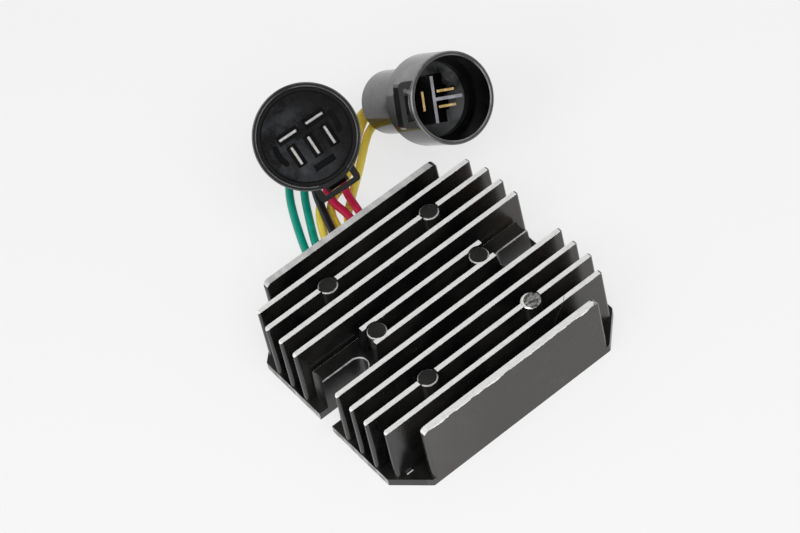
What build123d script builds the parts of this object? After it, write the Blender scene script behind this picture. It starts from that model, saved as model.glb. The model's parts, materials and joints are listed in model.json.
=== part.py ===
import os
from math import cos, pi, radians, sin, sqrt, tan

from build123d import *

os.makedirs("parts", exist_ok=True)

# Heat sink casting, with its fins along X and its base on Z = 0
base_length = 92.4
base_width = 83.1
corner_cut = 10.2
plate_corner_radius = 1.2
flange_thickness = 3.0
sink_height = 26.2
fin_count = 12
fin_pitch = 7.2
fin_top_thickness = 1.7
outer_fin_top_thickness = 2.3
fin_draft = 1.1
fin_end_inset = 0.7
outer_fin_end_inset = 1.0
fin_root_depth = 0.5
outer_fin_nose_radius = 2.4
fin_nose_radius = 1.1

# Open-ended bolt slots in the two raised ends, for M6 bolts
slot_width = 6.5
slot_spacing = 60.4
boss_height = 16.2
boss_half_width = 8.9
boss_setback = 3.2
boss_draft = 1.0
boss_corner_radius = 1.6
boss_edge_chamfer = 0.35
scoop_radius = 4.6
scoop_depth = 0.9
bolt_head_room = 2.7
short_fin_end_draft = 8.0

# Ejector pads that stand among the fins
pad_diameter = 6.5
pad_drop = 0.5
pad_spacing_x = 41.4
pad_row_pitches = 3.5
pad_rim_chamfer = 0.35
pad_clearing = 0.2

# Cavity in the underside, with the resin that fills it
side_wall = 4.5
cavity_length = 46.8
cavity_depth = 10.0
cavity_corner_radius = 4.0
cavity_draft = 1.0
tub_wall = 3.0
tub_roof = 3.0
tub_corner_radius = 3.0
resin_recess = 0.8

# Leads and the notch that they leave by
lead_diameter = 2.8
lead_spacing = 3.4
lead_row_x = -1.5
lead_height = 3.9
lead_entry = 5.55
notch_height = 7.0
notch_margin = 1.6
notch_corner_radius = 1.5
grommet_lip = 1.0
grommet_inner_lip_length = 1.5
grommet_outer_lip_length = 1.8
grommet_floor_gap = 0.3
grommet_edge_radius = 0.5

# Circuit inside the cavity
board_side_gap = 1.9
board_end_gap = 4.05
board_thickness = 1.6
package_length = 9.2
package_width = 10.2
package_height = 4.4
package_tab_length = 5.0
package_tab_thickness = 1.3
package_pin_width = 0.9
package_pin_length = 3.0
package_pin_spacing = 5.08
package_overlap = 0.8
package_columns = 3
first_row_margin = 0.6
package_row_gap = 1.3
control_row_gap = 1.6
chip_x = 0.5
chip_length = 8.7
chip_width = 4.0
chip_height = 1.6
chip_pin_count = 7
chip_pin_pitch = 1.27
storage_capacitor_x = -12.4
storage_capacitor_diameter = 6.3
storage_capacitor_height = 5.6
filter_capacitor_x = -6.5
filter_capacitor_size = 3.2
filter_capacitor_height = 1.8
resistor_x = 9.4
resistor_spacing = 3.0
resistor_length = 3.2
resistor_width = 1.6
resistor_height = 0.7
zener_x = 6.9
zener_diameter = 1.8
zener_length = 3.8
zener_cap_length = 0.7
zener_cap_step = 0.15
tab_width = 2.4
tab_thickness = 0.8
tab_foot_length = 4.0
tab_overhang = 1.3

# Both round connectors: an axis, a mouth centre and a roll about the axis
blade_width = 7.0
blade_thickness = 0.8
blade_tip_chamfer = 0.7
blade_tip_depth = 9.0
blade_pocket_margin = 0.9
blade_pocket_depth = 5.0
blade_fit = 0.1
barrel_diameter = 3.2
barrel_length = 9.0
lead_grip = 1.4
seal_length = 5.0
seal_ridge = 0.35

five_way_mouth = (4.7, 63.7, 44.8)
five_way_azimuth = -25.7
five_way_elevation = 47.9
five_way_roll = 18.0
five_way_length = 38.0
five_way_cup_radius = 17.5
five_way_cup_bore = 16.1
five_way_cup_length = 25.0
five_way_floor_depth = 16.0
five_way_island_radius = 14.7
five_way_groove_depth = 2.0
five_way_rear_radius = 16.0
five_way_rear_wall = 1.8
five_way_wall_thickness = 7.0
five_way_flat_blades = ((-4.9, 3.6), (5.35, 3.65))
five_way_upright_blades = ((-6.0, -3.4), (0.4, -3.5), (6.6, -3.5))
five_way_side_key_radius = 10.9
five_way_side_key_middle = -4.0
five_way_side_key_span = 32.0
five_way_side_key_width = 1.9
five_way_foot_key_y = -10.3
five_way_foot_key_x = 0.4
five_way_foot_key_length = 7.6
five_way_foot_key_width = 2.2
five_way_key_depth = 5.5

three_way_mouth = (50.7, 46.5, 38.9)
three_way_azimuth = 5.5
three_way_elevation = 37.4
three_way_roll = -118.0
three_way_length = 45.0
three_way_cup_radius = 15.2
three_way_cup_bore = 13.8
three_way_cup_length = 18.0
three_way_floor_depth = 15.5
three_way_ledge_depth = 12.5
three_way_ledge_bore = 12.4
three_way_rear_radius = 10.8
three_way_rear_wall = 1.6
three_way_wall_thickness = 7.0
three_way_foot_blade = (0.0, -6.2)
three_way_side_blades = ((-2.55, 2.35), (2.55, 2.35))
three_way_well_length = 16.2
three_way_well_width = 14.1
three_way_well_y = -2.0
three_way_well_depth = 4.0
three_way_divider_depth = 8.5
three_way_divider_thickness = 1.1
three_way_bar_y = -2.4
three_way_bar_length = 15.4
three_way_stem_length = 10.4

rim_chamfer = 0.35
latch_width = 15.2
latch_wall = 1.8
latch_leg = 2.2
latch_gap = 1.6
latch_length = 3.6
latch_setback = 1.2
catch_width = 6.0
catch_setback = 1.6
catch_length = 2.8
catch_top_length = 1.2
catch_clearance = 0.35
heel_width = 8.0
heel_length = 4.5
heel_rise = 1.35

# Each lead between the wall and its connector: the Y of its first corner, the points it lies through,
# and how far it stands straight out of the connector. Those at Z 4.4 cross over those on the table.
lead_routes = {
    "green_1": (45.0, [
        (-9.2, 59.0, 1.5), (-3.4, 72.6, 1.5), (1.2, 81.8, 1.5), (6.1, 88.5, 1.5), (10.6, 92.8, 7.3)], 3.0),
    "green_2": (45.4, [
        (-5.2, 58.8, 1.5), (1.2, 71.3, 1.5), (5.4, 79.0, 1.5), (8.8, 83.4, 1.5), (10.6, 87.0, 5.4)], 3.0),
    "yellow_1": (45.4, [
        (-1.0, 59.2, 1.5), (3.4, 68.3, 1.5), (8.8, 73.9, 1.5), (16.6, 75.5, 1.5), (23.0, 80.8, 1.5),
        (28.9, 86.7, 1.5), (35.8, 88.7, 5.5)], 3.4),
    "black": (45.0, [
        (1.7, 57.6, 4.0), (4.9, 67.5, 4.4), (8.0, 75.6, 4.4), (12.6, 82.7, 2.8), (15.8, 86.0, 6.6)], 3.0),
    "yellow_2": (45.0, [
        (4.7, 58.8, 1.5), (7.0, 66.6, 1.5), (10.8, 70.6, 1.5), (16.6, 72.3, 1.5), (24.9, 77.9, 1.5),
        (31.9, 84.2, 1.5), (38.8, 89.4, 2.3), (45.0, 89.9, 6.2)], 3.2),
    "yellow_3": (45.0, [
        (8.1, 59.4, 1.5), (14.9, 65.6, 1.5), (25.9, 74.6, 1.5), (33.8, 81.9, 1.5), (39.2, 85.8, 1.5),
        (44.8, 85.6, 4.0)], 2.8),
    "red_1": (45.0, [
        (9.8, 58.8, 4.4), (9.0, 68.3, 4.4), (12.6, 76.2, 4.4), (18.4, 84.0, 2.5), (21.6, 90.1, 8.6)], 3.4),
    "red_2": (45.0, [
        (13.2, 58.5, 4.3), (14.9, 67.3, 4.4), (18.3, 74.0, 4.4), (21.4, 80.6, 4.4), (22.9, 84.2, 8.1)], 3.0),
}

# Worked out from the sizes above
base_half_length = base_length / 2
base_half_width = base_width / 2
cut_line = base_half_length + base_half_width - corner_cut
slot_inner_end = slot_spacing / 2 - slot_width / 2
cavity_width = base_width - 2 * side_wall
tub_length = cavity_length + 2 * tub_wall
tub_top = cavity_depth + tub_roof
boss_end = base_half_length - boss_setback
board_bottom = cavity_depth - board_thickness
board_length = cavity_length - 2 * board_side_gap
board_width = cavity_width - 2 * board_end_gap
package_spacing = board_length / package_columns
lead_count = len(lead_routes)
lead_radius = lead_diameter / 2
lead_inner_y = cavity_width / 2 - lead_entry
notch_width = (lead_count - 1) * lead_spacing + lead_diameter + 2 * notch_margin
package_row = package_tab_length + package_length + package_pin_length
thyristor_row_y = first_row_margin + package_tab_length + package_length / 2 - board_width / 2
diode_row_y = thyristor_row_y + package_row + package_row_gap
control_row_y = lead_inner_y - tab_foot_length - control_row_gap - storage_capacitor_diameter / 2


def lead_x(index):
    return lead_row_x + (index - (lead_count - 1) / 2) * lead_spacing


def box_between(low, high):
    size = [b - a for a, b in zip(low, high)]
    middle = [(a + b) / 2 for a, b in zip(low, high)]
    return Pos(*middle) * Box(*size)


def drafted_down(profile, top, foot, draft):
    return extrude(Pos(0, 0, top) * profile, amount=top - foot, dir=(0, 0, -1), taper=-draft)


def turned(profile):
    """Revolve a closed list of (radius, z) points about Z."""
    return revolve(make_face(Plane.XZ * Polyline(profile, close=True)), axis=Axis.Z)


def rod(radius, low, high, x=0, y=0):
    return Pos(x, y, (low + high) / 2) * Cylinder(radius, high - low)


# Heat sink

def base_plate():
    corner_y = base_half_width - corner_cut
    corner_x = base_half_length - corner_cut
    outline = [
        (base_half_length, -corner_y), (base_half_length, corner_y),
        (corner_x, base_half_width), (-corner_x, base_half_width),
        (-base_half_length, corner_y), (-base_half_length, -corner_y),
        (-corner_x, -base_half_width), (corner_x, -base_half_width),
    ]
    face = make_face(Polyline(outline, close=True))
    face = fillet(face.vertices(), plate_corner_radius)
    return extrude(face, amount=flange_thickness, taper=fin_draft)


def fin_half_length(outer_y, inset):
    """Fins stop the same inset inside the plate's ends and inside its cut corners."""
    straight = base_half_length - inset
    at_corner = cut_line - outer_y - inset * sqrt(2)
    return min(straight, at_corner)


def fin_blank(top_half, foot_half, foot, nose_radius):
    """A fin's side view, with its two top corners rounded, thick enough to cut a fin from."""
    side = make_face(Polyline(
        [(-top_half, sink_height), (top_half, sink_height), (foot_half, foot), (-foot_half, foot)],
        close=True))
    if nose_radius:
        side = fillet(side.vertices().sort_by(Axis.Y)[-2:], nose_radius)
    return extrude(Plane.XZ * side, amount=fin_pitch, both=True)


def long_fin(centre_y):
    half = fin_half_length(abs(centre_y) + fin_top_thickness / 2, fin_end_inset)
    foot = flange_thickness - fin_root_depth
    lean = (sink_height - foot) * tan(radians(fin_draft))
    bar = drafted_down(SlotOverall(2 * half, fin_top_thickness), sink_height, foot, fin_draft)
    return Pos(0, centre_y) * (fin_blank(half, half + lean, foot, fin_nose_radius) & bar)


def outer_fin(side):
    """The fins over the two long sides are thicker, and flush with the plate at their foot."""
    lean = sink_height * tan(radians(fin_draft))
    centre_y = base_half_width - lean - outer_fin_top_thickness / 2
    half = fin_half_length(centre_y + outer_fin_top_thickness / 2, outer_fin_end_inset)
    profile = Pos(0, side * centre_y) * RectangleRounded(
        2 * half, outer_fin_top_thickness, outer_fin_top_thickness * 0.4)
    fin = drafted_down(profile, sink_height, 0, fin_draft)
    nose = outer_fin_nose_radius
    for end in (-1, 1):
        corner = box_between(
            (half - nose, -base_half_width, sink_height - nose),
            (half + nose, base_half_width, sink_height + nose))
        round_off = Pos(half - nose, 0, sink_height - nose) * Rot(90, 0, 0) * Cylinder(nose, 2 * base_width)
        cutter = corner - round_off
        fin -= cutter if end > 0 else cutter.mirror(Plane.YZ)
    return fin


def short_fin(centre_y):
    """Two fins stop at the bolt-head room, with sloping ends."""
    top_half = slot_inner_end - bolt_head_room
    foot_z = tub_top - fin_root_depth
    foot_half = top_half + (sink_height - foot_z) * tan(radians(short_fin_end_draft))
    bar = drafted_down(Rectangle(4 * foot_half, fin_top_thickness), sink_height, foot_z, fin_draft)
    return Pos(0, centre_y) * (fin_blank(top_half, foot_half, foot_z, 0) & bar)


def mounting_boss():
    """Raised end with an open slot, at +X."""
    inner = cavity_length / 2
    length = boss_end - inner
    profile = Pos(inner + length / 2, 0) * Rectangle(length, 2 * boss_half_width)
    boss = drafted_down(profile, boss_height, 0, boss_draft)
    upright = boss.edges().filter_by(lambda edge: edge.bounding_box().size.Z > boss_height / 2)
    boss = fillet(upright.sort_by(Axis.X)[-2:], boss_corner_radius)
    arm_middle = (boss_half_width + slot_width / 2) / 2
    for side in (-1, 1):
        scoop = Cone(scoop_radius, scoop_radius * 1.25, boss_height * 1.6)
        boss -= Pos(boss_end + scoop_radius - scoop_depth, side * arm_middle, boss_height / 2) * scoop
    boss -= bolt_slot()
    top_edges = boss.faces().sort_by(Axis.Z)[-1].edges()
    slot_arc = top_edges.filter_by(GeomType.CIRCLE).sort_by(Axis.X)[0]
    return chamfer([*top_edges.filter_by(Axis.X), slot_arc], boss_edge_chamfer)


def bolt_slot():
    """One open-ended slot through boss and plate, at +X."""
    reach = base_half_length + slot_width
    start = slot_spacing / 2
    height = boss_height * 3
    channel = box_between((start, -slot_width / 2, -height), (reach, slot_width / 2, height))
    return channel + Pos(start, 0, 0) * Cylinder(slot_width / 2, 2 * height)


def ejector_pads():
    """Round pads, drafted like the fins, with a broken top edge."""
    top = sink_height - pad_drop
    foot = tub_top - fin_root_depth
    top_radius = pad_diameter / 2
    foot_radius = top_radius + (top - foot) * tan(radians(fin_draft))
    pad = turned([
        (0, foot), (foot_radius, foot), (top_radius, top - pad_rim_chamfer),
        (top_radius - pad_rim_chamfer, top), (0, top)])
    return [Pos(x, y) * pad for x, y in pad_places()]


def pad_places():
    return [(side * pad_spacing_x / 2, row * pad_row_pitches * fin_pitch)
            for side in (-1, 1) for row in (-1, 0, 1)]


def pad_clearings():
    """The fins are milled away over each pad."""
    low = sink_height - pad_drop
    return [rod(pad_diameter / 2 + pad_clearing, low, sink_height + pad_drop, x, y) for x, y in pad_places()]


def cavity_block(low, high):
    """The cavity's drafted form between two heights."""
    shrink = low * tan(radians(cavity_draft))
    profile = RectangleRounded(
        cavity_length - 2 * shrink, cavity_width - 2 * shrink, cavity_corner_radius)
    return extrude(Pos(0, 0, low) * profile, amount=high - low, taper=cavity_draft)


def notch_block(from_y, to_y, grow):
    """The lead notch's form, or the grommet's, between two Y planes."""
    width = notch_width + 2 * grow
    top = notch_height + grow
    face = Pos(lead_row_x, top / 2) * RectangleRounded(width, top, notch_corner_radius)
    face += Pos(lead_row_x, top / 4) * Rectangle(width, top / 2)
    return extrude(Plane.XZ.offset(-from_y) * face, amount=-(to_y - from_y))


def tub():
    profile = RectangleRounded(tub_length, base_width - side_wall, tub_corner_radius)
    return drafted_down(profile, tub_top, 0, fin_draft)


def heat_sink():
    body = base_plate() + tub()
    fins = []
    for index in range(1, fin_count - 1):
        centre_y = ((fin_count - 1) / 2 - index) * fin_pitch
        if abs(centre_y) < fin_pitch:
            fins.append(short_fin(centre_y))
        else:
            fins.append(long_fin(centre_y))
    fins += [outer_fin(1), outer_fin(-1)]
    body += fins
    body += ejector_pads()
    body -= pad_clearings()
    boss = mounting_boss()
    body += [boss, boss.mirror(Plane.YZ)]
    slot = bolt_slot()
    body -= [slot, slot.mirror(Plane.YZ)]
    body -= cavity_block(0, cavity_depth)
    body -= notch_block(base_half_width - side_wall - tub_wall, base_width, 0)
    return body


# Circuit

def circuit_board():
    board = extrude(
        Pos(0, 0, board_bottom) * RectangleRounded(board_length, board_width, 1.5), amount=board_thickness)
    return board


def power_package(x, y):
    """A flat power device under the board, with its tab towards -Y and its pins towards +Y."""
    body_face = Pos(x, y) * Rectangle(package_width, package_length)
    body = drafted_down(body_face, board_bottom, board_bottom - package_height, -4)
    tab_end = y - package_length / 2 - package_tab_length
    tab = box_between(
        (x - package_width / 2, tab_end, board_bottom - package_tab_thickness),
        (x + package_width / 2, tab_end + package_tab_length + package_overlap, board_bottom))
    tab -= Pos(x, tab_end + package_tab_length / 2, board_bottom) * Cylinder(1.6, 4 * package_tab_thickness)
    pin_end = y + package_length / 2 + package_pin_length
    pins = []
    for side in (-1, 0, 1):
        pin_x = x + side * package_pin_spacing / 2
        pins.append(box_between(
            (pin_x - package_pin_width / 2, pin_end - package_pin_length - package_overlap, board_bottom - 0.6),
            (pin_x + package_pin_width / 2, pin_end, board_bottom)))
    return body + tab + pins


def control_chip(x, y):
    body = drafted_down(
        Pos(x, y) * Rectangle(chip_length, chip_width), board_bottom, board_bottom - chip_height, -5)
    pins = []
    for side in (-1, 1):
        for index in range(chip_pin_count):
            pin_x = x + (index - (chip_pin_count - 1) / 2) * chip_pin_pitch
            pin_y = y + side * (chip_width / 2 + 0.3)
            pins.append(Pos(pin_x, pin_y, board_bottom - 0.3) * Box(0.42, 2.0, 0.6))
    return body + pins


def storage_capacitor(x, y):
    can = Pos(x, y, board_bottom - storage_capacitor_height / 2) * Cylinder(
        storage_capacitor_diameter / 2, storage_capacitor_height)
    can = fillet(can.edges().sort_by(Axis.Z)[0], 0.5)
    base = Pos(x, y, board_bottom - 0.5) * Box(
        storage_capacitor_diameter + 0.4, storage_capacitor_diameter + 0.4, 1.0)
    return can + base


def chip_part(x, y, length, width, height):
    part = Pos(x, y, board_bottom - height / 2) * Box(length, width, height)
    return fillet(part.edges().filter_by(Axis.Z), 0.15)


def zener_diode(x, y):
    """A glass cylinder between two end caps."""
    cap = zener_length / 2 - zener_cap_length
    glass = zener_diameter / 2 - zener_cap_step
    body = turned([
        (0, -zener_length / 2), (zener_diameter / 2, -zener_length / 2), (zener_diameter / 2, -cap),
        (glass, -cap), (glass, cap), (zener_diameter / 2, cap), (zener_diameter / 2, zener_length / 2),
        (0, zener_length / 2)])
    return Pos(x, y, board_bottom - zener_diameter / 2) * Rot(90, 0, 0) * body


def lead_tab(index):
    """An angle of copper: its foot on the board, its leg down to the lead's end."""
    x = lead_x(index)
    leg_bottom = lead_height - tab_overhang
    foot = box_between(
        (x - tab_width / 2, lead_inner_y - tab_foot_length, board_bottom - tab_thickness),
        (x + tab_width / 2, lead_inner_y, board_bottom))
    leg = box_between(
        (x - tab_width / 2, lead_inner_y - tab_thickness, leg_bottom),
        (x + tab_width / 2, lead_inner_y, board_bottom))
    angle = foot + leg
    inner_corner = angle.edges().filter_by(Axis.X).sort_by_distance(
        (x, lead_inner_y - tab_thickness, board_bottom - tab_thickness))[0]
    return fillet(inner_corner, 0.4)


def wire_grommet():
    inner_wall = cavity_width / 2
    outer_wall = base_half_width
    block = notch_block(inner_wall - grommet_inner_lip_length, outer_wall + 0.05, 0)
    block += notch_block(inner_wall - grommet_inner_lip_length, inner_wall - 0.3, grommet_lip)
    outer = notch_block(outer_wall + 0.05, outer_wall + grommet_outer_lip_length, grommet_lip)
    far_edges = outer.faces().sort_by(Axis.Y)[-1].edges()
    block += fillet(far_edges, grommet_edge_radius)
    below = box_between((-base_length, 0, -base_width), (base_length, base_width, grommet_floor_gap))
    return block - below


# Connectors

def connector_plane(mouth, azimuth, elevation, roll):
    """Plane on the mouth, its Z out along the axis, its X turned by roll from level."""
    a, e, r = radians(azimuth), radians(elevation), radians(roll)
    level = Vector(cos(a), sin(a), 0)
    axis = Vector(sin(a) * cos(e), -cos(a) * cos(e), sin(e))
    return Plane(origin=mouth, x_dir=level * cos(r) + axis.cross(level) * sin(r), z_dir=axis)


def bar(width, thickness, low, high, x, y, turn):
    return Pos(x, y, (low + high) / 2) * Rot(0, 0, turn) * Box(width, thickness, high - low)


def latch_bridge(outer_radius, bore_radius):
    """The arch at -Y that the mating plug's latch goes under, with its catch and heel, and its window."""
    half = latch_width / 2
    opening = half - latch_leg
    roof = -(outer_radius + latch_gap)
    low = -latch_setback - latch_length
    seat = -sqrt(bore_radius ** 2 - half ** 2)
    arch = box_between((-half, roof - latch_wall, low), (half, seat, -latch_setback))
    arch = fillet(arch.edges().filter_by(Axis.Z).sort_by(Axis.Y)[:2], latch_wall)
    inner_wall = -(outer_radius + bore_radius) / 2
    peak = roof + catch_clearance
    catch_end = -catch_setback - catch_length
    ramp = make_face(Polyline([
        (inner_wall, -catch_setback), (-outer_radius, -catch_setback), (peak, catch_end + catch_top_length),
        (peak, catch_end), (inner_wall, catch_end)], close=True))
    catch = extrude(Plane.YZ * ramp, amount=catch_width / 2, both=True)
    heel = box_between(
        (-heel_width / 2, -(outer_radius + heel_rise), low - heel_length), (heel_width / 2, inner_wall, low))
    window = box_between((-opening, roof, low - latch_length), (opening, 0, latch_length))
    window -= rod(outer_radius, low - 2 * latch_length, 2 * latch_length)
    bore = rod(bore_radius, low - heel_length - 1, 1)
    return arch - window - bore + heel + catch


def rim_notch(outer_radius, bore_radius):
    """The rim stops between the arch's legs, in front of the catch."""
    opening = latch_width / 2 - latch_leg
    return box_between((-opening, -outer_radius - 0.1, -catch_setback), (opening, -bore_radius / 2, 1))


def blade(x, y, turn, rear):
    """A flat male blade with its crimp barrel, which ends where the lead's grip begins."""
    barrel_end = rear + lead_grip
    flat = bar(blade_width, blade_thickness, barrel_end + barrel_length, -blade_tip_depth, x, y, turn)
    tip_edges = flat.faces().sort_by(Axis.Z)[-1].edges().sort_by(SortBy.LENGTH)
    flat = chamfer(tip_edges[:2], blade_tip_chamfer, blade_tip_chamfer * 0.45)
    barrel = rod(barrel_diameter / 2, barrel_end, barrel_end + barrel_length + blade_thickness, x, y)
    return flat + barrel


def connector_seal(radius, rear, places):
    """Ribbed rubber plug, bored to each lead and counterbored to each barrel."""
    ridges = [rod(radius, rear + step * seal_length, rear + (step + 0.2) * seal_length)
              for step in (0.1, 0.6)]
    plug = rod(radius - seal_ridge, rear, rear + seal_length) + ridges
    for x, y in places:
        plug -= rod(lead_radius, rear - 1, rear + lead_grip, x, y)
        plug -= rod(barrel_diameter / 2, rear + lead_grip, rear + seal_length + 1, x, y)
    return plug


def blade_holes(places, turn, wall_top, wall_bottom):
    """Pockets in the face and close slots through the wall for a row of blades."""
    cuts = []
    for x, y in places:
        cuts.append(bar(
            blade_width + blade_pocket_margin, blade_thickness + 2.6, wall_top - blade_pocket_depth,
            wall_top + 1, x, y, turn))
        cuts.append(bar(
            blade_width + 2 * blade_fit, blade_thickness + 2 * blade_fit, wall_bottom - 1, wall_top, x, y, turn))
    return cuts


def five_way_housing():
    wall_top = -five_way_floor_depth
    wall_bottom = wall_top - five_way_wall_thickness
    groove_floor = wall_top - five_way_groove_depth
    step = -five_way_cup_length
    rear_bore = five_way_rear_radius - five_way_rear_wall
    shell = turned([
        (0, wall_top), (five_way_island_radius, wall_top), (five_way_island_radius, groove_floor),
        (five_way_cup_bore, groove_floor), (five_way_cup_bore, -rim_chamfer),
        (five_way_cup_bore + rim_chamfer, 0), (five_way_cup_radius - rim_chamfer, 0),
        (five_way_cup_radius, -rim_chamfer), (five_way_cup_radius, step), (five_way_rear_radius, step),
        (five_way_rear_radius, -five_way_length), (rear_bore, -five_way_length), (rear_bore, wall_bottom),
        (0, wall_bottom)])
    shell += latch_bridge(five_way_cup_radius, five_way_cup_bore)
    shell -= rim_notch(five_way_cup_radius, five_way_cup_bore)
    shell -= blade_holes(five_way_flat_blades, 0, wall_top, wall_bottom)
    shell -= blade_holes(five_way_upright_blades, 90, wall_top, wall_bottom)
    key_bottom = wall_top - five_way_key_depth
    for middle in (five_way_side_key_middle, 180 - five_way_side_key_middle):
        line = CenterArc(
            (0, 0), five_way_side_key_radius, middle - five_way_side_key_span / 2, five_way_side_key_span)
        key = SlotArc(line, five_way_side_key_width)
        shell -= extrude(Pos(0, 0, key_bottom) * key, amount=five_way_key_depth + 1)
    shell -= bar(
        five_way_foot_key_length, five_way_foot_key_width, key_bottom, wall_top + 1,
        five_way_foot_key_x, five_way_foot_key_y, 0)
    return shell


def three_way_housing():
    wall_top = -three_way_floor_depth
    wall_bottom = wall_top - three_way_wall_thickness
    step = -three_way_cup_length
    rear_bore = three_way_rear_radius - three_way_rear_wall
    shell = turned([
        (0, wall_top), (three_way_ledge_bore, wall_top), (three_way_ledge_bore, -three_way_ledge_depth),
        (three_way_cup_bore, -three_way_ledge_depth), (three_way_cup_bore, -rim_chamfer),
        (three_way_cup_bore + rim_chamfer, 0), (three_way_cup_radius - rim_chamfer, 0),
        (three_way_cup_radius, -rim_chamfer), (three_way_cup_radius, step), (three_way_rear_radius, step - 1.5),
        (three_way_rear_radius, -three_way_length), (rear_bore, -three_way_length),
        (rear_bore, wall_bottom), (0, wall_bottom)])
    shell += latch_bridge(three_way_cup_radius, three_way_cup_bore)
    shell -= bar(
        three_way_well_length, three_way_well_width, wall_top - three_way_well_depth, wall_top + 1,
        0, three_way_well_y, 0)
    shell -= blade_holes([three_way_foot_blade], 0, wall_top, wall_bottom)
    shell -= blade_holes(three_way_side_blades, 90, wall_top, wall_bottom)
    return shell


def three_way_divider():
    """T-shaped barrier between the blades: it stands in the well, and its stem runs out onto the floor."""
    floor = -three_way_floor_depth
    foot = floor - three_way_well_depth
    tip = -three_way_divider_depth
    well_edge = three_way_well_y + three_way_well_width / 2
    in_well = well_edge - three_way_bar_y
    thickness = three_way_divider_thickness
    cross_bar = bar(three_way_bar_length, thickness, foot, tip, 0, three_way_bar_y, 0)
    stem = bar(
        thickness, three_way_stem_length, floor, tip, 0, three_way_bar_y + three_way_stem_length / 2, 0)
    stem_foot = bar(thickness, in_well, foot, tip, 0, three_way_bar_y + in_well / 2, 0)
    return cross_bar + stem + stem_foot


# Leads

def route_of(name, index, connector, rear, place):
    """All the points of a lead, from its copper tab to the end of its blade's barrel."""
    corner_y, points, stand_out = lead_routes[name]
    x = lead_x(index)
    last_corner = connector.from_local_coords((*place, rear - stand_out))
    end = connector.from_local_coords((*place, rear + lead_grip))
    route = [Vector(x, lead_inner_y, lead_height), Vector(x, corner_y, lead_height)]
    route += [Vector(*point) for point in points]
    return route + [last_corner, end]


def bend_radii(route):
    """Each arc takes 0.45 of the shorter of its two runs."""
    radii = []
    for before, at, after in zip(route, route[1:], route[2:]):
        turn = (at - before).get_angle(after - at)
        shorter = min((at - before).length, (after - at).length)
        radii.append(0.45 * shorter / tan(radians(turn / 2)))
    return radii


def lead(route):
    path = FilletPolyline(route, radius=bend_radii(route))
    section = Plane(origin=route[0], z_dir=route[1] - route[0]) * Circle(lead_radius)
    tube = sweep(section, path=path)
    expected = path.length * pi * lead_radius ** 2
    print("bend radii", [round(radius, 1) for radius in bend_radii(route)],
          "length", round(path.length, 1), "volume ratio", round(tube.volume / expected, 4))
    return tube


# Build and write

five_plane = connector_plane(five_way_mouth, five_way_azimuth, five_way_elevation, five_way_roll)
three_plane = connector_plane(three_way_mouth, three_way_azimuth, three_way_elevation, three_way_roll)
five_rear = -five_way_length
three_rear = -three_way_length
five_places = five_way_flat_blades + five_way_upright_blades
three_places = (three_way_foot_blade,) + three_way_side_blades
five_order = ("green_1", "red_1", "green_2", "black", "red_2")
three_order = ("yellow_1", "yellow_2", "yellow_3")

sockets = {name: (five_plane, five_rear, place) for name, place in zip(five_order, five_places)}
sockets.update({name: (three_plane, three_rear, place) for name, place in zip(three_order, three_places)})
leads = {}
for index, name in enumerate(lead_routes):
    route = route_of(name, index, *sockets[name])
    print(name, [tuple(round(v, 2) for v in point) for point in route])
    leads[f"wire_{name}"] = lead(route)

inside = {"circuit_board": circuit_board()}
for column in range(package_columns):
    step = column - (package_columns - 1) / 2
    x = step * package_spacing
    inside[f"thyristor_{column + 1}"] = power_package(x, thyristor_row_y)
    inside[f"diode_{column + 1}"] = power_package(x, diode_row_y)
    inside[f"gate_resistor_{column + 1}"] = chip_part(
        resistor_x + column * resistor_spacing, control_row_y, resistor_width, resistor_length,
        resistor_height)
inside["control_chip"] = control_chip(chip_x, control_row_y)
inside["storage_capacitor"] = storage_capacitor(storage_capacitor_x, control_row_y)
inside["filter_capacitor"] = chip_part(
    filter_capacitor_x, control_row_y, filter_capacitor_size * 0.8, filter_capacitor_size,
    filter_capacitor_height)
inside["zener_diode"] = zener_diode(zener_x, control_row_y)
for index in range(lead_count):
    inside[f"lead_tab_{index + 1}"] = lead_tab(index)
inside["wire_grommet"] = wire_grommet() - list(leads.values())

resin = cavity_block(resin_recess, cavity_depth)
resin -= list(inside.values())
resin -= list(leads.values())

parts = {"heat_sink": heat_sink(), "potting_compound": resin, **inside, **leads}
parts["five_way_housing"] = five_plane.location * five_way_housing()
for index, place in enumerate(five_places):
    turn = 0 if index < len(five_way_flat_blades) else 90
    parts[f"five_way_blade_{index + 1}"] = five_plane.location * blade(*place, turn, five_rear)
parts["five_way_seal"] = five_plane.location * connector_seal(
    five_way_rear_radius - five_way_rear_wall, five_rear, five_places)
parts["three_way_housing"] = three_plane.location * three_way_housing()
parts["three_way_divider"] = three_plane.location * three_way_divider()
for index, place in enumerate(three_places):
    turn = 0 if index == 0 else 90
    parts[f"three_way_blade_{index + 1}"] = three_plane.location * blade(*place, turn, three_rear)
parts["three_way_seal"] = three_plane.location * connector_seal(
    three_way_rear_radius - three_way_rear_wall, three_rear, three_places)

for name, solid in parts.items():
    export_step(solid, f"parts/{name}.step")
    print(name, len(solid.solids()), round(solid.volume, 1))
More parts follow.
